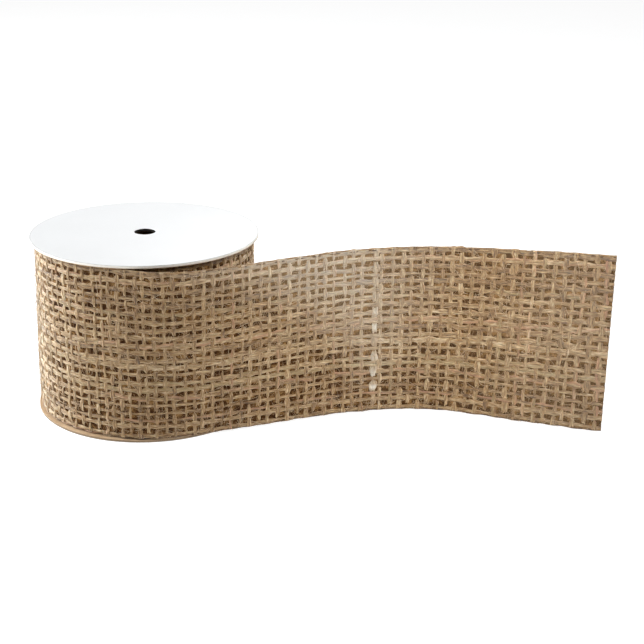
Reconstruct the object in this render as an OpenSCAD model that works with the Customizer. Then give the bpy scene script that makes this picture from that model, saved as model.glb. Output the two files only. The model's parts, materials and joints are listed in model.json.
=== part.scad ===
// Ribbon spool: a roll of woven jute ribbon on a paperboard spool, standing
// on one flange, with the loose end of the ribbon drawn off along +X.
// The origin is on the spindle axis, in the plane the spool stands on.

/* [Ribbon] */
// Width of the ribbon, which stands upright on the spool
ribbon_w = 63.5; // [50:0.5:76]
// Thickness of one layer of the ribbon
ribbon_t = 0.9; // [0.6:0.1:1.2]
// Outer radius of the roll, measured over its loose outer turn
roll_r = 40.6; // [36:0.1:41]
// Clearance between the wound roll and its loose outer turn
turn_gap = 0.25; // [0.2:0.05:0.5]
// Clearance between the ribbon's edges and the flanges
edge_gap = 0.4; // [0.3:0.1:1]

/* [Flanges] */
// Radius of both flanges
flange_r = 42; // [41.5:0.5:50]
// Diameter of the spindle hole through both flanges
spindle_d = 7.9; // [5:0.1:12]
// Thickness of the flange's board
board_t = 0.7; // [0.5:0.1:1.5]
// Thickness of the white paper on the flange's outer side
face_t = 0.15; // [0.1:0.05:0.3]
// Thickness of the kraft paper on the flange's inner side
liner_t = 0.15; // [0.1:0.05:0.3]

/* [Core] */
// Outer radius of the paper core
core_r = 19; // [15:0.5:24]
// Thickness of one ply of the core
ply_t = 0.5; // [0.3:0.1:0.8]
// Leg of the glue fillet between the core and a flange
glue_leg = 2; // [1:0.5:3]
// Thickness of the tape that holds the ribbon's inner end
tape_t = 0.1; // [0.05:0.05:0.1]
// Height of the tape
tape_h = 25; // [12:1:40]
// Angle of the core that the tape covers
tape_turn = 70; // [40:5:120]

/* [Loose end] */
// Bearing of the line where the ribbon leaves the roll, from +X
peel_angle = -108; // [-112:1:-100]
// Angle of the outer turn that is left open beside the peel line
turn_opening = 18; // [18:1:24]
// Length of the straight run where the ribbon leaves the roll
lead_run = 8; // [6:1:9]
// Radius of the bend that carries the ribbon round the front
front_bend_r = 40; // [38:1:44]
// Turn of that bend, towards the roll
front_bend_turn = 43; // [35:1:45]
// Length of the straight run after it
middle_run = 46; // [30:1:50]
// Radius of the long bend that brings the ribbon back
far_bend_r = 88; // [80:1:110]
// Turn of the long bend, away from the roll
far_bend_turn = 38; // [30:1:40]
// Length of the straight run up to the cut end
end_run = 47; // [30:1:60]

/* [Hidden] */
$fn = 144;

white = [0.96, 0.96, 0.95];
greyboard = [0.66, 0.60, 0.52];
kraft = [0.86, 0.70, 0.52];
core_brown = [0.62, 0.47, 0.33];
glue_amber = [0.90, 0.82, 0.62];
tape_clear = [0.88, 0.86, 0.78];
jute = [0.72, 0.58, 0.42];

flange_t = face_t + board_t + liner_t;
ribbon_z = flange_t + edge_gap;
core_h = ribbon_w + 2 * edge_gap;
spool_h = core_h + 2 * flange_t;
spindle_r = spindle_d / 2;

bore_r = core_r - 3 * ply_t;
roll_inner_r = core_r + tape_t + 0.05;
turn_inner_r = roll_r - ribbon_t;
peel_r = roll_r - ribbon_t / 2;
roll_outer_r = turn_inner_r - turn_gap;

// The outer turn stops short of the loose end's round nose
nose_gap = 0.2;
nose_clear_angle = (ribbon_t / 2 + nose_gap) / peel_r * 180 / PI;

// A station is a point and a heading: [x, y, heading]
function after_run(at, length) = [
    at[0] + length * cos(at[2]),
    at[1] + length * sin(at[2]),
    at[2]
];
function after_bend(at, radius, turn) = let (side = sign(turn) * radius) [
    at[0] + side * (sin(at[2] + turn) - sin(at[2])),
    at[1] - side * (cos(at[2] + turn) - cos(at[2])),
    at[2] + turn
];
function beside(at, offset) = [
    at[0] - offset * sin(at[2]),
    at[1] + offset * cos(at[2])
];

// The loose end's middle line from above, from the peel line along +X
bend_steps = 20;
front_bend_start = after_run([0, 0, 0], lead_run);
front_bend = [
    for (i = [1:bend_steps])
        after_bend(front_bend_start, front_bend_r, front_bend_turn * i / bend_steps)
];
far_bend_start = after_run(front_bend[bend_steps - 1], middle_run);
far_bend = [
    for (i = [1:bend_steps])
        after_bend(far_bend_start, far_bend_r, -far_bend_turn * i / bend_steps)
];
tail_end = after_run(far_bend[bend_steps - 1], end_run);
tail_line = concat(
    [[0, 0, 0], front_bend_start], front_bend,
    [far_bend_start], far_bend, [tail_end]
);

// A ring about the spindle axis, standing on z = 0
module ring(inner, outer, height) {
    difference() {
        cylinder(r = outer, h = height);
        translate([0, 0, -1]) cylinder(r = inner, h = height + 2);
    }
}

// One layer of a flange
module flange_layer(z, thickness) {
    translate([0, 0, z]) ring(spindle_r, flange_r, thickness);
}

// One ply of the core, counted outwards from the bore
module core_ply(index) {
    inner = bore_r + index * ply_t;
    translate([0, 0, flange_t]) ring(inner, inner + ply_t, core_h);
}

// A fillet of glue in the corner between the core's bore and a flange
module glue_fillet() {
    rotate_extrude()
        polygon([
            [bore_r, 0],
            [bore_r, glue_leg],
            [bore_r - 0.35 * glue_leg, 0.35 * glue_leg],
            [bore_r - glue_leg, 0]
        ]);
}

// Part of a ring, from one bearing through an angle
module ring_part(inner, thickness, height, from, turn) {
    rotate([0, 0, from])
        rotate_extrude(angle = turn)
            translate([inner, 0]) square([thickness, height]);
}

// A strip of ribbon on edge along a line of stations, standing on z = 0
module strip(stations) {
    linear_extrude(ribbon_w)
        polygon(concat(
            [for (at = stations) beside(at, ribbon_t / 2)],
            [for (i = [len(stations) - 1:-1:0]) beside(stations[i], -ribbon_t / 2)]
        ));
}

module top_flange_face() {
    color(white) flange_layer(spool_h - face_t, face_t);
}

module top_flange_board() {
    color(greyboard) flange_layer(spool_h - face_t - board_t, board_t);
}

module top_flange_liner() {
    color(kraft) flange_layer(spool_h - flange_t, liner_t);
}

module bottom_flange_face() {
    color(white) flange_layer(0, face_t);
}

module bottom_flange_board() {
    color(greyboard) flange_layer(face_t, board_t);
}

module bottom_flange_liner() {
    color(kraft) flange_layer(face_t + board_t, liner_t);
}

module core_inner_ply() {
    color(core_brown) core_ply(0);
}

module core_middle_ply() {
    color(core_brown) core_ply(1);
}

module core_outer_ply() {
    color(core_brown) core_ply(2);
}

module top_glue_bead() {
    color(glue_amber)
        translate([0, 0, spool_h - flange_t]) mirror([0, 0, 1]) glue_fillet();
}

module bottom_glue_bead() {
    color(glue_amber) translate([0, 0, flange_t]) glue_fillet();
}

// The tape lies on the core, under the innermost turn of the ribbon
module core_tape() {
    color(tape_clear)
        translate([0, 0, (spool_h - tape_h) / 2])
            ring_part(core_r, tape_t, tape_h, 0, tape_turn);
}

// All the turns of the ribbon but the outermost
module wound_ribbon() {
    color(jute)
        translate([0, 0, ribbon_z]) ring(roll_inner_r, roll_outer_r, ribbon_w);
}

// The outermost turn, slack enough to slip round the roll
module outer_turn() {
    color(jute)
        translate([0, 0, ribbon_z])
            ring_part(
                turn_inner_r, ribbon_t, ribbon_w,
                peel_angle + turn_opening,
                360 - turn_opening - nose_clear_angle
            );
}

// The loose end, with a round nose that turns about the peel line
module ribbon_tail() {
    color(jute)
        rotate([0, 0, peel_angle])
            translate([peel_r, 0, ribbon_z])
                rotate([0, 0, 90]) {
                    ring_part(0, ribbon_t / 2, ribbon_w, 90, 180);
                    strip(tail_line);
                }
}

top_flange_face();
top_flange_board();
top_flange_liner();
bottom_flange_face();
bottom_flange_board();
bottom_flange_liner();
core_inner_ply();
core_middle_ply();
core_outer_ply();
top_glue_bead();
bottom_glue_bead();
core_tape();
wound_ribbon();
outer_turn();
ribbon_tail();
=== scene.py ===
"""Looks of the ribbon spool: woven jute ribbon on a white paperboard spool, on a light table.

Lengths that describe the weave are in millimetres along the ribbon's own directions:
s runs along the ribbon from the line where it leaves the roll, v runs up its width,
and w stands out from its middle surface, away from the roll.
"""

import json
import math

import bpy
import numpy as np
from mathutils import Matrix, Vector


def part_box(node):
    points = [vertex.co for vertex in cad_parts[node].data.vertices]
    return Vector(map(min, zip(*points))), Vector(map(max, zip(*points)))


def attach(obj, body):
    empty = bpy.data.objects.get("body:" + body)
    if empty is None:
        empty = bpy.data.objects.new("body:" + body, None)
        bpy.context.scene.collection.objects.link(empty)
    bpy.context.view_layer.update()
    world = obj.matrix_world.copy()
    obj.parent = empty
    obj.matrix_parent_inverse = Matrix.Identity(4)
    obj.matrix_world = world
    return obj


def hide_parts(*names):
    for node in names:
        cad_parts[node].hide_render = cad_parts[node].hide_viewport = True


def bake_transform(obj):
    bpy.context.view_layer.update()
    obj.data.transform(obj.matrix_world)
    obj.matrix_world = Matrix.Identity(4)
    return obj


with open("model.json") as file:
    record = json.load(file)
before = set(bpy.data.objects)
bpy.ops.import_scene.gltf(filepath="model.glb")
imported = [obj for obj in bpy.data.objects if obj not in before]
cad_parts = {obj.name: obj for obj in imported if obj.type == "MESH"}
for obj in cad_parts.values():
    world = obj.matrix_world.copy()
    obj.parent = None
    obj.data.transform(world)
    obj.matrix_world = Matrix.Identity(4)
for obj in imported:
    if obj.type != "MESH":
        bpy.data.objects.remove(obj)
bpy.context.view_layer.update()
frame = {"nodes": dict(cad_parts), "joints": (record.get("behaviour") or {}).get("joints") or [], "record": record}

MM = 0.001
TURN = 2 * math.pi

# ---------------------------------------------------------------- the ribbon's own sizes
HINGES = {joint["name"]: joint for joint in frame["joints"]}
PEEL = np.array(HINGES["tail_swing"]["pos_m"]) / MM
PEEL_R = math.hypot(PEEL[0], PEEL[1])
PEEL_AT = math.atan2(PEEL[1], PEEL[0])
RIBBON_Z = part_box("ribbon_tail")[0].z / MM
RIBBON_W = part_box("ribbon_tail")[1].z / MM - RIBBON_Z
FLANGE_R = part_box("top_flange_face")[1].x / MM
MOUNTS = {mount["name"]: mount for mount in frame["record"]["mounts"]}
HOLE_R = MOUNTS["spindle_bore"]["dims"]["r_mm"]
CORE_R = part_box("core_outer_ply")[1].x / MM

# Stretches of the loose end: length, and turn to the left in degrees
LOOSE_END = (
    (8.0, 0.0),
    (40.0 * math.radians(43), 43.0),
    (46.0, 0.0),
    (88.0 * math.radians(38), -38.0),
    (47.0, 0.0),
)
TAIL_LENGTH = sum(length for length, _ in LOOSE_END)
# How far the yarns along the ribbon run on past its measured length, and how near to a cut
# end a yarn across it may lie
YARN_ENDS = 0.9
LAST_WEFT = 0.6
TAIL_END = TAIL_LENGTH + YARN_ENDS

# The outer turn is a little over one turn of a spiral, which steps in by LAYER_STEP a turn. Its
# start lies TUCK past the peel line under the loose end, and TUCK_DEPTH deeper than the spiral.
# It goes deeper between two angles counted back from the peel line
LAYER_STEP = 0.35
TUCK_DEPTH = 0.9
TUCK = math.radians(10)
DEEPEST, DEEPER_FROM = math.radians(-356), math.radians(-292)
SPIRAL_TURN = TURN + TUCK
TURN_LENGTH = PEEL_R * SPIRAL_TURN - LAYER_STEP * SPIRAL_TURN**2 / (2 * TURN)

# The covered turns: the length of their strip, and the radii that it is wound between
WOUND_LENGTH = 4154.0
WOUND_INNER = CORE_R + 0.5
WOUND_OUTER = 37.8

# Yarns along the ribbon (warp) and across it (weft), and how far they stray from their places
WARP_COUNT = 22
WARP_PITCH = RIBBON_W / WARP_COUNT
WARP_STRAY = 0.38
WEFT_PITCH = 3.25
WEFT_STRAY = 0.42
LOOSE_PITCH = 0.40  # added to the weft's pitch on the loose end
WARP_WAVE = 0.05
WEFT_WAVE = 0.20
HALF_THICK = 0.21
EDGE_YARN = 0.26
LIE_STEP = 7.0  # from one yarn to the next in what the material's noise reads

# The strands of a yarn: how many, their half width as a share of the yarn's, how far their twist
# lifts them, and the rings and sides of their tubes, with so many rings for each crossing
STRANDS = 3
STRAND_SHARE = 0.56
STRAND_RISE = 0.06
RINGS = 4
SIDES = 6

# Stray fibres on each of the two woven parts, and the shares on the front and out of line
FIBRES = 9500
FRONT_SHARE = 0.7
WILD_SHARE = 0.16


def smoothstep(low, high, x):
    t = np.clip((x - low) / (high - low), 0, 1)
    return t * t * (3 - 2 * t)


def loose_end_table(step=0.25):
    """Lengths, x, y and heading along the loose end's middle line."""
    s = np.arange(0, TAIL_LENGTH + 6, step)
    bend = np.zeros(len(s))
    start = 0.0
    for length, turn in LOOSE_END:
        inside = (s + step / 2 >= start) & (s + step / 2 < start + length)
        bend[inside] = math.radians(turn) / length
        start += length
    heading = PEEL_AT + TURN / 4 + np.concatenate([[0], np.cumsum(bend[:-1]) * step])
    middle = heading + bend * step / 2
    x = PEEL[0] + np.concatenate([[0], np.cumsum(np.cos(middle[:-1])) * step])
    y = PEEL[1] + np.concatenate([[0], np.cumsum(np.sin(middle[:-1])) * step])
    return s, x, y, heading


TABLE_S, TABLE_X, TABLE_Y, TABLE_HEADING = loose_end_table()


def middle_line(s):
    """x, y and heading of the ribbon's middle line. On the roll s is below zero."""
    back = np.minimum(s, 0)
    a = LAYER_STEP / (2 * TURN)
    angle = (-PEEL_R + np.sqrt(np.maximum(PEEL_R**2 + 4 * a * back, 0))) / (2 * a)
    under = 1 - smoothstep(DEEPEST, DEEPER_FROM, angle)
    radius = PEEL_R + 2 * a * angle - TUCK_DEPTH * under
    x = np.where(s < 0, radius * np.cos(PEEL_AT + angle), np.interp(s, TABLE_S, TABLE_X))
    y = np.where(s < 0, radius * np.sin(PEEL_AT + angle), np.interp(s, TABLE_S, TABLE_Y))
    heading = np.where(
        s < 0, PEEL_AT + angle + TURN / 4, np.interp(s, TABLE_S, TABLE_HEADING)
    )
    return x, y, heading


def lean(s):
    """How far the ribbon's top edge leans to the left of the middle line; its foot leans back."""
    near_roll = -2.4 * smoothstep(6, 32, s) * (1 - smoothstep(46, 112, s))
    middle = 0.7 * smoothstep(34, 62, s)
    cut_end = 5.5 * smoothstep(108, 192, s)
    return near_roll + middle + cut_end


def swell(s, v):
    """The slow unevenness of the whole strip, and the bulge of the slack outer turn."""
    slack = 0.35 + 0.65 * smoothstep(0, 40, s)
    rows = np.sin(s / 7.3 + 1.7 * np.sin(v / 23)) * 0.10 + np.sin(s / 12.1 - v / 9.7) * 0.12
    bulge = smoothstep(-110, -60, s) * (1 - smoothstep(-50, -8, s))
    belly = bulge * (0.85 + 0.2 * v / RIBBON_W - 1.45 * (v / RIBBON_W) ** 2)
    return slack * (rows + 0.08 * np.sin(v / 6.1 + s / 31)) + belly


def place(s, v, w):
    """Points of the frame, in metres, from the ribbon's own s, v and w."""
    x, y, heading = middle_line(s)
    aside = lean(s) * (2 * v / RIBBON_W - 1) - w - swell(s, v)
    z = RIBBON_Z + v
    points = np.stack(
        [x - np.sin(heading) * aside, y + np.cos(heading) * aside, z + 0 * x], axis=-1
    )
    return points * MM


# ---------------------------------------------------------------- building meshes
def mesh_object(name, points, faces, attributes=(), material=None, smooth=True):
    """A new object. The attributes are (name, kind, values for each point), for its material."""
    mesh = bpy.data.meshes.new(name)
    mesh.from_pydata(points.reshape(-1, 3).tolist(), [], faces)
    for key, kind, values in attributes:
        field = "value" if kind == "FLOAT" else "vector"
        layer = mesh.attributes.new(key, kind, "POINT")
        layer.data.foreach_set(field, np.asarray(values, np.float32).ravel())
    mesh.polygons.foreach_set("use_smooth", [smooth] * len(mesh.polygons))
    mesh.update()
    made = bpy.data.objects.new(name, mesh)
    bpy.context.scene.collection.objects.link(made)
    if material:
        made.data.materials.append(material)
    return made


def tube_faces(tubes, rings, sides):
    """Quads round every tube and a flat cap on each end."""
    t = np.arange(tubes)[:, None, None] * rings * sides
    r = np.arange(rings - 1)[None, :, None] * sides
    k = np.arange(sides)[None, None, :]
    a = t + r + k
    b = t + r + (k + 1) % sides
    quads = np.stack([a, b, b + sides, a + sides], axis=-1).reshape(-1, 4).tolist()
    first = (np.arange(tubes)[:, None] * rings * sides + np.arange(sides)[None, ::-1]).tolist()
    last = (
        np.arange(tubes)[:, None] * rings * sides
        + (rings - 1) * sides
        + np.arange(sides)[None, :]
    ).tolist()
    return quads + first + last


def sheet_faces(along, up):
    """Quads of a thin closed sheet: its front, its back and the rim between them."""
    front = np.arange(along * up).reshape(along, up)
    faces = []
    for grid, flip in ((front, False), (front + along * up, True)):
        quads = np.stack([grid[:-1, :-1], grid[1:, :-1], grid[1:, 1:], grid[:-1, 1:]], axis=-1)
        quads = quads.reshape(-1, 4)
        faces += (quads[:, ::-1] if flip else quads).tolist()
    rim = np.concatenate([front[:, 0], front[-1, 1:], front[-2::-1, -1], front[0, -2:0:-1]])
    rim_back = rim + along * up
    faces += np.stack([rim, rim_back, np.roll(rim_back, -1), np.roll(rim, -1)], axis=-1).tolist()
    return faces


def uneven(seed, rows, lengths, sizes):
    """Smooth random lines, one for each row: a function of (rows, distance)."""
    r = np.random.default_rng(seed)
    shape = (rows, len(lengths))
    phase = r.uniform(0, TURN, shape)
    gain = r.uniform(0.35, 1.0, shape) * np.array(sizes)
    stretch = r.uniform(0.8, 1.25, shape) * np.array(lengths)

    def at(row, t):
        total = 0
        for i in range(len(lengths)):
            total = total + gain[row, i] * np.sin(TURN * t / stretch[row, i] + phase[row, i])
        return total

    return at


# ---------------------------------------------------------------- the weave
def weft_places():
    """Where each yarn across the ribbon lies along it: they are closer together on the roll."""
    r = np.random.default_rng(11)
    past_ends = 8
    ahead, behind = [], []
    at = 0.5 * WEFT_PITCH
    while at < TAIL_LENGTH + past_ends:
        ahead.append(at)
        at += WEFT_PITCH + LOOSE_PITCH * float(smoothstep(20, 50, np.array(at)))
    at = -0.5 * WEFT_PITCH
    while at > -TURN_LENGTH - past_ends:
        behind.append(at)
        at -= WEFT_PITCH
    places = np.array(behind[::-1] + ahead)
    return places + r.uniform(-WEFT_STRAY, WEFT_STRAY, len(places))


WEFT_AT = weft_places()
WEFTS = np.arange(len(WEFT_AT))
# The one thick pale yarn across the loose end, and the crossings that put its flecks in front
SLUB_AT = 104.0
SLUB = int(np.argmin(np.abs(WEFT_AT - SLUB_AT)))
WEFT_AT[SLUB] += 1.2
CROSSING = 1 if SLUB % 2 == 0 else -1
# Pale flecks of the slub: height, reach and strength
SLUB_FLECKS = (
    (38.9, 1.4, 0.5),
    (32.9, 1.3, 1.3),
    (21.2, 1.6, 0.6),
    (14.6, 1.7, 1.0),
    (9.4, 0.9, 1.2),
)

# Places, half widths and tints of the yarns
spacing = np.random.default_rng(12)
WARP_AT = (np.arange(WARP_COUNT) + 0.5) * WARP_PITCH
WARP_AT += spacing.uniform(-WARP_STRAY, WARP_STRAY, WARP_COUNT)
WEFT_WIDE = 0.46 + 0.80 * spacing.beta(1.2, 2.4, len(WEFTS))
WEFT_WIDE += 0.08 * smoothstep(20, 60, WEFT_AT) + 0.06 * smoothstep(105, 160, WEFT_AT)
WARP_WIDE = 0.50 + 0.80 * spacing.beta(1.2, 2.2, WARP_COUNT)
WEFT_TINT = spacing.uniform(0, 1, len(WEFTS))
WARP_TINT = spacing.uniform(0, 1, WARP_COUNT)
WEFT_WIDE[SLUB] = 1.25

# How each yarn wanders, and how its half width changes, along its length
warp_path = uneven(21, WARP_COUNT, (9, 23, 61), (0.06, 0.11, 0.20))
warp_thick = uneven(22, WARP_COUNT, (4, 11, 31), (0.12, 0.19, 0.18))
weft_path = uneven(23, len(WEFTS), (8, 19, 70), (0.10, 0.15, 0.25))
weft_thick = uneven(24, len(WEFTS), (4, 10, 27), (0.10, 0.16, 0.18))


def ring_angles(count, sides):
    """Angles of the points round each ring of a tube."""
    return (np.arange(sides) + 0.5) * TURN / sides + np.zeros((count, 1))


def strands(t, across_at, out_at, half, seed):
    """Three loosely twisted strands for each yarn, as points at (t, across, out).

    t, across_at, out_at and half are arrays of (yarns, rings).
    """
    r = np.random.default_rng(seed)
    yarns, rings = t.shape
    column = (yarns, 1, 1)
    twist = TURN / r.uniform(17, 38, column) * np.where(r.uniform(size=column) < 0.5, 1, -1)
    begin = r.uniform(0, TURN, column)
    k = np.arange(STRANDS)[None, :, None]
    phase = begin + twist * t[:, None, :] + TURN * k / STRANDS
    own = 1 + 0.16 * r.uniform(-1, 1, (yarns, STRANDS, 1))
    drift = 0.14 * np.sin(t[:, None, :] / r.uniform(1.6, 4.5, (yarns, STRANDS, 1)) + phase * 2)
    across = across_at[:, None, :] + half[:, None, :] * (STRAND_SHARE * np.cos(phase) + drift)
    out = out_at[:, None, :] + STRAND_RISE * np.sin(phase)
    phi = ring_angles(rings, SIDES)[None, None, :, :]
    rough = 1 + 0.11 * r.uniform(-1, 1, (yarns, STRANDS, rings, SIDES))
    half_across = (half[:, None, :] * STRAND_SHARE * own)[..., None] * rough
    half_out = (HALF_THICK - STRAND_RISE) * own[..., None] * rough
    return (
        t[:, None, :, None] + 0 * rough,
        across[..., None] + half_across * np.cos(phi),
        out[..., None] + half_out * np.sin(phi),
    )


def roll_side(s):
    """1 on the left side of the roll, and 0 on its front and back and on the loose end."""
    return smoothstep(-120, -60, s) * (1 - smoothstep(-50, -18, s))


def pale_and_painted_highlight(s, v):
    """How pale the jute is. A slanting patch high on the loose end and the left side of the roll are lightened as
    painted highlight, and the cut end is a little paler.
    """
    height = v / RIBBON_W
    centre = 105 - 28 * height**3
    half_width = 9 + 30 * height**2
    # The patch is a painted highlight, strongest at the top edge.
    patch = 0.72 * height * np.exp(-(((s - centre) / half_width) ** 2))
    cut_end = 0.12 * smoothstep(140, 175, s)
    # The left side of the roll gets painted highlight too.
    return patch + 0.45 * roll_side(s) + cut_end


def lighter_gaps(s):
    """How much lighter the dark gaps are: much lighter round the side of the roll, as painted light, and a little
    near the cut end.
    """
    cut_end = 0.15 * smoothstep(105, 160, s)
    return 1.9 * roll_side(s) + cut_end


def yarn_object(name, points, lie, tint, pale, material):
    """The tubes of all the strands. odd picks out the few strands with a cast of their own."""
    yarns, strand_count, rings, sides = points.shape[:4]
    r = np.random.default_rng(yarns * 7 + rings)
    own = tint[:, None, None, None] + r.uniform(-0.3, 0.3, (yarns, strand_count, 1, 1))
    odd = r.uniform(0, 1, (yarns, strand_count, 1, 1)) + np.zeros(points.shape[:4])
    return mesh_object(
        name,
        points,
        tube_faces(yarns * strand_count, rings, sides),
        [
            ("lie", "FLOAT_VECTOR", lie),
            ("tint", "FLOAT", own + np.zeros(points.shape[:4])),
            ("odd", "FLOAT", odd),
            ("pale", "FLOAT", pale + np.zeros(points.shape[:4])),
        ],
        material,
    )


def warp_yarns(name, start, end, material):
    """The yarns along the ribbon, from s = start to s = end."""
    rings = int(round((end - start) / WEFT_PITCH * RINGS)) + 1
    row = np.arange(WARP_COUNT)[:, None]
    s = np.linspace(start, end, rings)[None, :] + 0 * row
    passed = np.interp(s, WEFT_AT, WEFTS)
    side = np.where(row % 2 == 0, 1, -1)
    w = WARP_WAVE * CROSSING * side * np.cos(math.pi * passed)
    v = WARP_AT[row] + warp_path(row, s)
    half = WARP_WIDE[row] * (1 + warp_thick(row, s)) * (1 + 0.08 * np.cos(TURN * passed))
    half = half * (1 + 0.06 * smoothstep(105, 160, s))
    along, up, out = strands(s, v, w, half, 51)
    lie = np.stack([along, up + LIE_STEP * row[..., None, None], out], axis=-1)
    return yarn_object(name, place(along, up, out), lie, WARP_TINT, pale_and_painted_highlight(along, up), material)


def weft_yarns(name, start, end, material):
    """The yarns across the ribbon whose place lies between start and end."""
    chosen = np.nonzero((WEFT_AT > start) & (WEFT_AT < end))[0]
    row = chosen[:, None]
    rings = WARP_COUNT * RINGS + 1
    inset = 0.12
    v = inset + (RIBBON_W - 2 * inset) * np.linspace(0, 1, rings)[None, :] + 0 * row
    passed = np.interp(v, WARP_AT, np.arange(WARP_COUNT))
    side = np.where(row % 2 == 0, 1, -1)
    w = -WEFT_WAVE * CROSSING * side * np.cos(math.pi * passed)
    s = WEFT_AT[row] + weft_path(row, v)
    half = WEFT_WIDE[row] * (1 + weft_thick(row, v)) * (1 + 0.08 * np.cos(TURN * passed))
    up, along, out = strands(v, s, w, half, 53 + chosen[0])
    lie = np.stack([up, along + LIE_STEP * row[..., None, None], out], axis=-1)
    flecks = sum(
        much * np.exp(-(((v - at) / reach) ** 2)) for at, reach, much in SLUB_FLECKS
    )
    pale = np.where(row == SLUB, 0.12 + flecks, 0)[:, None, :, None] + pale_and_painted_highlight(along, up)
    return yarn_object(name, place(along, up, out), lie, WEFT_TINT[chosen], pale, material)


def edge_yarns(name, start, end, material):
    """A fine pair of threads along each edge of the ribbon, over the ends of the yarns."""
    rings = int(round((end - start) / WEFT_PITCH * RINGS)) + 1
    row = np.arange(4)[:, None]
    s = np.linspace(start, end, rings)[None, :] + 0 * row
    passed = np.interp(s, WEFT_AT, WEFTS)
    upper = row >= 2
    inner = row % 2 == 1
    apart, wave = 0.55, 0.20
    inset = EDGE_YARN + np.where(inner, apart, 0.0) + 0.05 * np.sin(s / (2.3 + row) + row)
    v = np.where(upper, RIBBON_W - inset, inset)
    w = wave * np.cos(math.pi * passed + math.pi * inner)
    half = EDGE_YARN * (1 + 0.18 * np.sin(s / 3.1 + 2.0 * row))
    along, up, out = strands(s, v, w, half, 57)
    lie = np.stack([along, up + LIE_STEP * row[..., None, None], out], axis=-1)
    tint = np.array([-0.9, 0.2, 0.2, -0.9])
    return yarn_object(name, place(along, up, out), lie, tint, 0, material)


def gap_shade_sheet(name, start, end, material, half=0.02):
    """A thin dark sheet between the yarns, closed all round: painted shade in the gaps of the weave."""
    step, up, inset = 1.5, 22, 0.15
    along = int(round((end - start) / step)) + 1
    s, v = np.meshgrid(np.linspace(start, end, along), np.linspace(inset, RIBBON_W - inset, up))
    s, v = s.T, v.T
    front = place(s, v, half)
    rear = place(s, v, -half)
    points = np.concatenate([front.reshape(-1, 3), rear.reshape(-1, 3)])
    lie = np.stack([s, v, 0 * s], axis=-1).reshape(-1, 3)
    pale = np.tile(pale_and_painted_highlight(lie[:, 0], lie[:, 1]) + lighter_gaps(lie[:, 0]), 2)
    attributes = [("lie", "FLOAT_VECTOR", np.tile(lie, (2, 1))), ("pale", "FLOAT", pale)]
    return mesh_object(name, points, sheet_faces(along, up), attributes, material)


def fuzz(name, start, end, seed, material):
    """Stray fibres on both faces of the ribbon. Most follow a yarn, and some wander."""
    r = np.random.default_rng(seed)
    links, sides = 4, 3
    column = (FIBRES, 1)
    face = np.where(r.uniform(size=column) < FRONT_SHARE, 1, -1)
    length = r.gamma(2.4, 1.1, column).clip(1.0, 8)
    wild = r.uniform(size=column) < WILD_SHARE
    along = r.uniform(size=column) < 0.5
    spread = np.where(wild, 0.9, 0.22)
    course = np.where(along, 0, TURN / 4) + r.normal(0, 1, column) * spread
    course = course + np.where(r.uniform(size=column) < 0.5, 0, TURN / 2)
    curl = r.normal(0, 1, column) * np.where(wild, 1.6, 0.5) / length
    t = np.linspace(0, 1, links)[None, :]
    heading = course + curl * length * t
    step = length / (links - 1)
    s = r.uniform(start + 0.5, end - 0.5, column) + np.cumsum(np.cos(heading), 1) * step
    v = r.uniform(0.3, RIBBON_W - 0.3, column) + np.cumsum(np.sin(heading), 1) * step
    s = np.clip(s, start, end)
    v = np.clip(v, 0.05, RIBBON_W - 0.05)
    low = r.uniform(0.0, 0.46, column)
    lift = np.where(wild, r.uniform(0.2, 0.9, column), r.uniform(0.0, 0.25, column))
    w = face * (low + lift * np.sin(math.pi * t * r.uniform(0.6, 1.1, column)))
    half = (r.uniform(0.035, 0.080, column) * (1 - 0.6 * t**2))[..., None]
    phi = ring_angles(links, sides)[None, :, :]
    points = place(
        s[..., None] - half * np.cos(phi) * np.sin(heading)[..., None],
        v[..., None] + half * np.cos(phi) * np.cos(heading)[..., None],
        w[..., None] + half * np.sin(phi),
    )
    tint = r.uniform(0, 1, (FIBRES, 1, 1)) + np.zeros((FIBRES, links, sides))
    faces = tube_faces(FIBRES, links, sides)
    return mesh_object(name, points, faces, [("tint", "FLOAT", tint)], material)


def wound_layers(name, material, half=0.27):
    """The rest of the roll: one long strip wound in a spiral from the core outwards."""
    steps_a_turn, up, inset = 72, 9, 0.25
    pitch = math.pi * (WOUND_OUTER**2 - WOUND_INNER**2) / WOUND_LENGTH
    turns = (WOUND_OUTER - WOUND_INNER) / pitch
    stations = int(turns * steps_a_turn) + 1
    angle = np.linspace(-turns * TURN, 0, stations) + PEEL_AT - TUCK
    radius = np.linspace(WOUND_INNER, WOUND_OUTER, stations)
    v = np.linspace(inset, RIBBON_W - inset, up)[None, :]
    edge = 0.18 * np.sin(angle * 3.7) + 0.12 * np.sin(angle * 8.3 + 1)
    z = RIBBON_Z + v + edge[:, None] * (2 * v / RIBBON_W - 1) * 0.8
    sheets = []
    for offset in (half, -half):
        reach = (radius + offset)[:, None] + 0 * v
        x = reach * np.cos(angle)[:, None]
        y = reach * np.sin(angle)[:, None]
        sheets.append(np.stack([x, y, z], axis=-1).reshape(-1, 3) * MM)
    s = np.linspace(0, WOUND_LENGTH, stations)[:, None] + 0 * v
    lie = np.stack([s, v + 0 * s, 0 * s], axis=-1).reshape(-1, 3)
    attributes = [("lie", "FLOAT_VECTOR", np.tile(lie, (2, 1)))]
    return mesh_object(
        name, np.concatenate(sheets), sheet_faces(stations, up), attributes, material
    )


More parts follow.
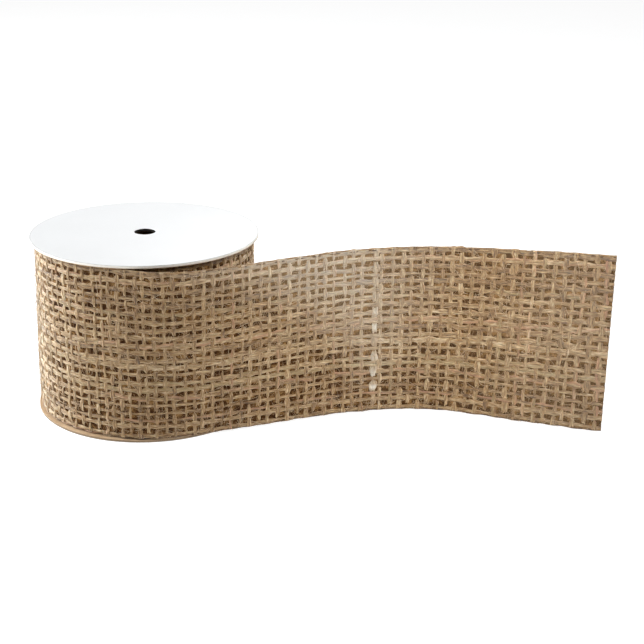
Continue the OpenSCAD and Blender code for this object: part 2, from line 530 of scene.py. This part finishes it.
# ---------------------------------------------------------------- materials
class Nodes:
    """A short way to wire up one material."""

    def __init__(self, name):
        self.material = bpy.data.materials.new(name)
        self.material.use_nodes = True
        self.tree = self.material.node_tree
        self.shader = self.tree.nodes["Principled BSDF"]

    def add(self, kind, inputs=(), **settings):
        node = self.tree.nodes.new(kind)
        for key, value in settings.items():
            setattr(node, key, value)
        for key, value in dict(inputs).items():
            self.feed(node.inputs[key], value)
        return node

    def feed(self, socket, value):
        if isinstance(value, bpy.types.NodeSocket):
            self.tree.links.new(value, socket)
        else:
            socket.default_value = value

    def set(self, **inputs):
        for key, value in inputs.items():
            self.feed(self.shader.inputs[key.replace("_", " ")], value)

    def attribute(self, name):
        return self.add("ShaderNodeAttribute", attribute_name=name)

    def scaled(self, vector, scale, turn=(0, 0, 0)):
        node = self.add(
            "ShaderNodeMapping", {"Vector": vector, "Scale": scale, "Rotation": turn}
        )
        return node.outputs["Vector"]

    def noise(self, vector, scale, detail=3.0, roughness=0.55):
        node = self.add(
            "ShaderNodeTexNoise",
            {"Vector": vector, "Scale": scale, "Detail": detail, "Roughness": roughness},
        )
        return node.outputs["Fac"]

    def math(self, operation, a, b=0.0, clamp=False):
        node = self.add("ShaderNodeMath", {0: a, 1: b}, operation=operation, use_clamp=clamp)
        return node.outputs[0]

    def fit(self, value, low, high, to_low=0.0, to_high=1.0):
        node = self.add(
            "ShaderNodeMapRange",
            {"Value": value, "From Min": low, "From Max": high, "To Min": to_low, "To Max": to_high},
        )
        return node.outputs["Result"]

    def radius(self, where):
        """Distance from the spindle axis."""
        split = self.add("ShaderNodeSeparateXYZ", {"Vector": where})
        x2 = self.math("POWER", split.outputs["X"], 2.0)
        y2 = self.math("POWER", split.outputs["Y"], 2.0)
        return self.math("SQRT", self.math("ADD", x2, y2))

    def ramp(self, value, stops):
        node = self.add("ShaderNodeValToRGB", {"Fac": value})
        band = node.color_ramp
        while len(band.elements) < len(stops):
            band.elements.new(0.5)
        for element, (at, colour) in zip(band.elements, stops):
            element.position = at
            element.color = (*colour, 1)
        return node.outputs["Color"]

    def blend(self, kind, factor, a, b):
        node = self.add("ShaderNodeMix", data_type="RGBA", blend_type=kind)
        self.feed(node.inputs[0], factor)
        self.feed(node.inputs[6], a)
        self.feed(node.inputs[7], b)
        return node.outputs[2]

    def bump(self, height, strength, distance):
        node = self.add(
            "ShaderNodeBump", {"Height": height, "Strength": strength, "Distance": distance}
        )
        self.feed(self.shader.inputs["Normal"], node.outputs["Normal"])


def srgb(red, green, blue):
    """Linear colour from 0 to 255 display values."""
    parts = [c / 255 for c in (red, green, blue)]
    return tuple(c / 12.92 if c <= 0.04045 else ((c + 0.055) / 1.055) ** 2.4 for c in parts)


def jute_yarn():
    n = Nodes("jute_yarn")
    lie = n.attribute("lie").outputs["Vector"]
    tint = n.attribute("tint").outputs["Fac"]
    pale = n.attribute("pale").outputs["Fac"]
    fibres = n.noise(n.scaled(lie, (0.35, 4.5, 4.5), (0, 0, 0.20)), 1.0, 3.0, 0.6)
    strands = n.noise(n.scaled(lie, (0.45, 2.2, 2.2), (0, 0, 0.12)), 1.0, 2.0, 0.5)
    patches = n.noise(n.scaled(lie, (0.13, 0.05, 0.3)), 1.0, 2.0, 0.5)
    value = n.math("MULTIPLY", fibres, 0.90)
    value = n.math("ADD", value, n.math("MULTIPLY", strands, 1.20))
    value = n.math("ADD", value, n.math("MULTIPLY", patches, 0.40))
    value = n.math("ADD", value, n.math("MULTIPLY", tint, 0.20))
    value = n.math("SUBTRACT", value, 0.85)
    colour = n.ramp(
        value,
        (
            (0.10, srgb(68, 44, 20)),
            (0.36, srgb(128, 95, 54)),
            (0.58, srgb(161, 131, 87)),
            (0.92, srgb(212, 187, 154)),
        ),
    )
    warm = n.fit(n.noise(n.scaled(lie, (0.06, 0.02, 0.1)), 1.0, 1.0), 0.35, 0.65)
    colour = n.blend("MULTIPLY", n.math("MULTIPLY", warm, 0.5), colour, (1.0, 0.93, 0.82, 1))
    odd = n.attribute("odd").outputs["Fac"]
    rosy = n.fit(odd, 0.93, 0.97, 0.0, 0.45)
    colour = n.blend("MIX", rosy, colour, (*srgb(186, 134, 104), 1))
    olive = n.fit(odd, 0.07, 0.03, 0.0, 0.45)
    colour = n.blend("MIX", olive, colour, (*srgb(140, 122, 78), 1))
    # pale mixes in near white: the slub's own pale flecks, and painted highlight elsewhere.
    white = n.math("MULTIPLY", n.fit(pale, 0.0, 1.35), 0.85, True)
    colour = n.blend("MIX", white, colour, (*srgb(225, 216, 200), 1))
    n.set(Base_Color=colour, Roughness=n.fit(fibres, 0.3, 0.7, 0.75, 0.58))
    n.set(Sheen_Weight=0.5, Sheen_Roughness=0.5, Specular_IOR_Level=0.7)
    n.set(Sheen_Tint=(*srgb(248, 230, 204), 1))
    n.set(Subsurface_Weight=0.4, Subsurface_Scale=0.0006, Subsurface_Radius=(1.0, 0.7, 0.45))
    n.bump(n.math("ADD", fibres, strands), 0.5, 0.00022)
    return n.material


def jute_gap_shade():
    n = Nodes("jute_gap_shade")
    lie = n.attribute("lie").outputs["Vector"]
    fibres = n.noise(n.scaled(lie, (2.6, 1.2, 1.0)), 1.0, 4.0, 0.7)
    gap_blotches = n.noise(n.scaled(lie, (0.30, 0.36, 1.0)), 1.0, 2.0, 0.6)
    value = n.math("ADD", n.math("MULTIPLY", fibres, 0.55), n.math("MULTIPLY", gap_blotches, 0.65))
    # The dark browns are painted shade for the gaps.
    colour = n.ramp(
        value,
        (
            (0.46, srgb(43, 21, 4)),
            (0.60, srgb(66, 40, 15)),
            (0.72, srgb(139, 105, 66)),
        ),
    )
    # pale lightens it: painted highlight, painted light round the side of the roll, and a little near the cut end.
    pale = n.attribute("pale").outputs["Fac"]
    colour = n.blend("MIX", n.math("MULTIPLY", pale, 0.5), colour, (*srgb(186, 160, 124), 1))
    n.set(Base_Color=colour, Roughness=n.fit(fibres, 0.3, 0.7, 1.0, 0.85))
    n.set(Specular_IOR_Level=0.1)
    n.bump(fibres, 0.6, 0.0002)
    return n.material


def jute_fuzz():
    n = Nodes("jute_fuzz")
    tint = n.attribute("tint").outputs["Fac"]
    where = n.add("ShaderNodeTexCoord").outputs["Object"]
    fine = n.noise(where, 900.0, 2.0)
    colour = n.ramp(
        n.math("ADD", n.math("MULTIPLY", tint, 0.8), n.math("MULTIPLY", fine, 0.3)),
        (
            (0.10, srgb(128, 98, 66)),
            (0.55, srgb(178, 148, 112)),
            (0.95, srgb(222, 200, 168)),
        ),
    )
    n.set(Base_Color=colour, Roughness=n.fit(fine, 0.3, 0.7, 0.85, 0.65))
    return n.material


def jute_wound():
    """The covered turns of the roll: the same weave, drawn in the surface, with its low places darkened as painted
    shade.
    """
    n = Nodes("jute_wound")
    lie = n.attribute("lie").outputs["Vector"]
    split = n.add("ShaderNodeSeparateXYZ", {"Vector": lie})
    along = n.math("SINE", n.math("MULTIPLY", split.outputs["X"], TURN / WEFT_PITCH))
    up = n.math("SINE", n.math("MULTIPLY", split.outputs["Y"], TURN / WARP_PITCH))
    weave = n.fit(n.math("MULTIPLY", along, up), -1.0, 1.0)
    fibres = n.noise(n.scaled(lie, (0.9, 4.0, 1.0)), 1.0, 4.0, 0.6)
    value = n.math("ADD", n.math("MULTIPLY", weave, 0.55), n.math("MULTIPLY", fibres, 0.5))
    colour = n.ramp(
        value,
        (
            (0.20, srgb(70, 46, 24)),
            (0.48, srgb(140, 106, 70)),
            (0.80, srgb(184, 150, 110)),
        ),
    )
    n.set(Base_Color=colour, Roughness=n.fit(fibres, 0.3, 0.7, 0.95, 0.8))
    n.bump(value, 0.8, 0.0004)
    return n.material


def white_paper():
    n = Nodes("white_paper")
    where = n.add("ShaderNodeTexCoord").outputs["Object"]
    radius = n.radius(where)
    fibre = n.noise(n.scaled(where, (900.0, 900.0, 900.0)), 1.0, 4.0, 0.6)
    cloud = n.noise(n.scaled(where, (45.0, 45.0, 45.0)), 1.0, 3.0, 0.5)
    value = n.math("ADD", n.math("MULTIPLY", fibre, 0.5), n.math("MULTIPLY", cloud, 0.5))
    colour = n.ramp(value, ((0.30, (0.84, 0.84, 0.84)), (0.62, (0.87, 0.87, 0.87))))
    # A thin band of painted shade round the rim of the paper face, broken by its fibre.
    rim = n.fit(radius, (FLANGE_R - 0.55) * MM, (FLANGE_R - 0.05) * MM)
    rim_shade = n.math("MULTIPLY", rim, n.fit(fibre, 0.3, 0.6, 0.55, 1.0))
    colour = n.blend("MIX", rim_shade, colour, (0.60, 0.595, 0.585, 1))
    n.set(Base_Color=colour, Roughness=n.fit(fibre, 0.3, 0.7, 0.42, 0.58))
    n.set(Specular_IOR_Level=0.4)
    n.bump(value, 0.18, 0.00006)
    return n.material


def board(name, dark, light, rough=0.8):
    n = Nodes(name)
    where = n.add("ShaderNodeTexCoord").outputs["Object"]
    layers = n.noise(n.scaled(where, (120.0, 120.0, 6000.0)), 1.0, 3.0, 0.6)
    specks = n.noise(n.scaled(where, (1400.0, 1400.0, 1400.0)), 1.0, 3.0, 0.6)
    value = n.math("ADD", n.math("MULTIPLY", layers, 0.6), n.math("MULTIPLY", specks, 0.4))
    colour = n.ramp(value, ((0.30, dark), (0.66, light)))
    # The wall of the spindle hole is painted near black, as painted shade.
    bore = n.fit(n.radius(where), (HOLE_R + 0.06) * MM, (HOLE_R + 0.03) * MM)
    colour = n.blend("MIX", bore, colour, (*srgb(38, 33, 27), 1))
    n.set(Base_Color=colour, Roughness=n.fit(specks, 0.3, 0.7, rough, rough + 0.12))
    n.set(Specular_IOR_Level=0.3)
    n.bump(value, 0.4, 0.0001)
    return n.material


def core_paper():
    """Brown paper wound on a slant, with a seam line every turn."""
    n = Nodes("core_paper")
    where = n.add("ShaderNodeTexCoord").outputs["Object"]
    split = n.add("ShaderNodeSeparateXYZ", {"Vector": where})
    bearing = n.math("ARCTAN2", split.outputs["Y"], split.outputs["X"])
    rise = n.math("MULTIPLY", split.outputs["Z"], 1 / 0.030)
    course = n.math("FRACT", n.math("ADD", rise, n.math("MULTIPLY", bearing, 1 / TURN)))
    seam = n.fit(n.math("ABSOLUTE", n.math("SUBTRACT", course, 0.5)), 0.0, 0.02, 1.0, 0.0)
    specks = n.noise(n.scaled(where, (700.0, 700.0, 700.0)), 1.0, 4.0, 0.6)
    colour = n.ramp(specks, ((0.32, srgb(122, 92, 62)), (0.66, srgb(164, 130, 94))))
    colour = n.blend("MULTIPLY", n.math("MULTIPLY", seam, 0.7), colour, (0.45, 0.4, 0.35, 1))
    n.set(Base_Color=colour, Roughness=n.fit(specks, 0.3, 0.7, 0.78, 0.92))
    n.bump(n.math("SUBTRACT", specks, seam), 0.4, 0.0002)
    return n.material


def hot_melt_glue():
    n = Nodes("hot_melt_glue")
    where = n.add("ShaderNodeTexCoord").outputs["Object"]
    blobs = n.noise(n.scaled(where, (260.0, 260.0, 260.0)), 1.0, 3.0, 0.5)
    colour = n.ramp(blobs, ((0.35, srgb(206, 176, 112)), (0.68, srgb(236, 216, 166))))
    n.set(Base_Color=colour, Roughness=n.fit(blobs, 0.3, 0.7, 0.16, 0.34))
    n.set(Subsurface_Weight=0.1, Subsurface_Scale=0.001)
    n.bump(blobs, 0.5, 0.0005)
    return n.material


def clear_tape():
    n = Nodes("clear_tape")
    where = n.add("ShaderNodeTexCoord").outputs["Object"]
    bubbles = n.noise(n.scaled(where, (180.0, 180.0, 420.0)), 1.0, 3.0, 0.5)
    colour = n.ramp(bubbles, ((0.34, srgb(196, 184, 150)), (0.7, srgb(224, 214, 188))))
    n.set(Base_Color=colour, Roughness=n.fit(bubbles, 0.3, 0.7, 0.18, 0.40))
    n.bump(bubbles, 0.3, 0.0001)
    return n.material


def light_table():
    n = Nodes("light_table")
    where = n.add("ShaderNodeTexCoord").outputs["Object"]
    grain = n.noise(n.scaled(where, (30.0, 30.0, 30.0)), 1.0, 2.0)
    colour = n.ramp(grain, ((0.3, (0.30, 0.30, 0.30)), (0.7, (0.33, 0.33, 0.33))))
    n.set(Base_Color=colour, Roughness=0.9, Specular_IOR_Level=0.0)
    n.set(Emission_Color=(1, 1, 1, 1), Emission_Strength=0.92)
    return n.material


# ---------------------------------------------------------------- camera, light and table
def camera():
    """Looks down a little from in front of the loose end, a touch out of level."""
    eye = Vector((65.95, -472.53, 205.33)) * MM
    pitch, roll = 0.3526, 0.0122
    forward = Vector((0, math.cos(pitch), -math.sin(pitch)))
    right0 = Vector((1, 0, 0))
    up0 = Vector((0, math.sin(pitch), math.cos(pitch)))
    right = right0 * math.cos(roll) + up0 * math.sin(roll)
    up = up0 * math.cos(roll) - right0 * math.sin(roll)
    data = bpy.data.cameras.new("camera")
    data.sensor_width = 36
    data.lens = 74.21
    data.clip_start, data.clip_end = 0.01, 20
    view = bpy.data.objects.new("camera", data)
    turn = Matrix((right, up, -forward)).transposed().to_4x4()
    view.matrix_world = Matrix.Translation(eye) @ turn
    bpy.context.scene.collection.objects.link(view)
    bpy.context.scene.camera = view


def towards(bearing, height):
    """The direction at a bearing from +X and a height above the table, in degrees."""
    around, up = math.radians(bearing), math.radians(height)
    return Vector(
        (math.cos(up) * math.cos(around), math.cos(up) * math.sin(around), math.sin(up))
    )


def area_light(name, place_at, aim, size, power, colour, spread=180):
    data = bpy.data.lights.new(name, "AREA")
    data.size = size
    data.energy = power
    data.color = colour
    data.spread = math.radians(spread)
    made = bpy.data.objects.new(name, data)
    made.location = place_at
    aimed = Vector(aim) - Vector(place_at)
    made.rotation_euler = aimed.to_track_quat("-Z", "Y").to_euler()
    bpy.context.scene.collection.objects.link(made)


def dim_room():
    """Almost no light of its own, but plain white where the picture looks past the table."""
    world = bpy.data.worlds.new("dim_room")
    world.use_nodes = True
    tree = world.node_tree
    dim = tree.nodes["Background"]
    dim.inputs["Color"].default_value = (1, 1, 1, 1)
    dim.inputs["Strength"].default_value = 0.03
    bright = tree.nodes.new("ShaderNodeBackground")
    bright.inputs["Color"].default_value = (1, 1, 1, 1)
    seen = tree.nodes.new("ShaderNodeLightPath").outputs["Is Camera Ray"]
    mix = tree.nodes.new("ShaderNodeMixShader")
    tree.links.new(seen, mix.inputs[0])
    tree.links.new(dim.outputs[0], mix.inputs[1])
    tree.links.new(bright.outputs[0], mix.inputs[2])
    tree.links.new(mix.outputs[0], tree.nodes["World Output"].inputs["Surface"])
    return world


def studio():
    """Broad lights from the left and from behind, a small lamp in front, and a light table."""
    scene = bpy.context.scene
    scene.view_settings.view_transform = "Standard"
    scene.world = dim_room()
    middle = Vector((0.06, -0.02, 0.03))
    far, soft = 0.9, 0.70
    white, cool, warm = (1, 1, 1), (0.75, 0.88, 1.0), (1.0, 0.985, 0.96)
    for name, bearing, height, power, colour in (
        ("rim", 162, 4, 13.4, cool),
        ("rim_high", 162, 18, 6.4, white),
        ("left_high", 180, 35, 7.4, warm),
        ("back_right", 20, 4, 6.0, white),
    ):
        place_at = middle + far * towards(bearing, height)
        area_light(name, place_at, middle, soft, power, colour)
    loose = Vector((0.10, -0.015, 0.045))
    area_light("front", loose + 0.4 * towards(-70, 45), loose, 0.12, 0.105, white, spread=40)
    reach, under = 3.0, 0.0002
    corners = [(-reach, -reach, 0), (reach, -reach, 0), (reach, reach, 0), (-reach, reach, 0)]
    table = mesh_object(
        "light_table", np.array(corners), [[0, 1, 2, 3]], (), light_table(), False
    )
    table.location.z = -under


# ---------------------------------------------------------------- the spool
def dress(node, material):
    slots = frame["nodes"][node].data.materials
    slots.clear()
    slots.append(material)


def dress_spool():
    paper = white_paper()
    # The flanges hold one greyboard: the top one is painted near white as lit, and the bottom one brown as painted
    # shade.
    greyboard = board("greyboard", srgb(222, 214, 202), srgb(242, 238, 230))
    board_painted_shade = board("board_painted_shade", srgb(112, 92, 70), srgb(150, 128, 102))
    kraft = board("kraft_paper", srgb(160, 132, 102), srgb(200, 172, 138), 0.7)
    core = core_paper()
    glue = hot_melt_glue()
    for end in ("top", "bottom"):
        dress(end + "_flange_face", paper)
        # Painted light on the top board, painted shade on the bottom one.
        dress(end + "_flange_board", greyboard if end == "top" else board_painted_shade)
        dress(end + "_flange_liner", kraft)
        dress(end + "_glue_bead", glue)
    for ply in ("inner", "middle", "outer"):
        dress("core_" + ply + "_ply", core)
    dress("core_tape", clear_tape())


def woven_turn(yarn, gap_shade, stray):
    """The outer turn. Its yarns are in two halves, front and back, to keep each piece small."""
    first, half_way = -TURN_LENGTH, -TURN_LENGTH / 2
    return {
        "gap_shade": gap_shade_sheet("turn_gap_shade", first, 0, gap_shade),
        "warp": warp_yarns("turn_warp", half_way, 0, yarn),
        "warp_back": warp_yarns("turn_warp_back", first, half_way, yarn),
        "weft": weft_yarns("turn_weft", half_way, 0, yarn),
        "weft_back": weft_yarns("turn_weft_back", first + LAST_WEFT, half_way, yarn),
        "edges": edge_yarns("turn_edges", first, 0, yarn),
        "fuzz": fuzz("turn_fuzz", first, 0, 35, stray),
    }


def woven_tail(yarn, gap_shade, stray):
    """The loose end."""
    return {
        "gap_shade": gap_shade_sheet("tail_gap_shade", 0, TAIL_END - 0.1, gap_shade),
        "warp": warp_yarns("tail_warp", 0, TAIL_END, yarn),
        "weft": weft_yarns("tail_weft", 0, TAIL_END - LAST_WEFT, yarn),
        "edges": edge_yarns("tail_edges", 0, TAIL_END, yarn),
        "fuzz": fuzz("tail_fuzz", 0, TAIL_END, 45, stray),
    }


def dress_ribbon():
    yarn, gap_shade, stray = jute_yarn(), jute_gap_shade(), jute_fuzz()
    turn = woven_turn(yarn, gap_shade, stray)
    tail = woven_tail(yarn, gap_shade, stray)
    wound = wound_layers("wound_layers", jute_wound())

    for piece in turn.values():
        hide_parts("outer_turn")
        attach(piece, "loose_turn")
    # The loose end's pieces are tied to no body; their places are baked into their meshes.
    for piece in tail.values():
        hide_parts("ribbon_tail")
        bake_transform(piece)
    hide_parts("wound_ribbon")
    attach(wound, "spool")


camera()
studio()
dress_spool()
dress_ribbon()
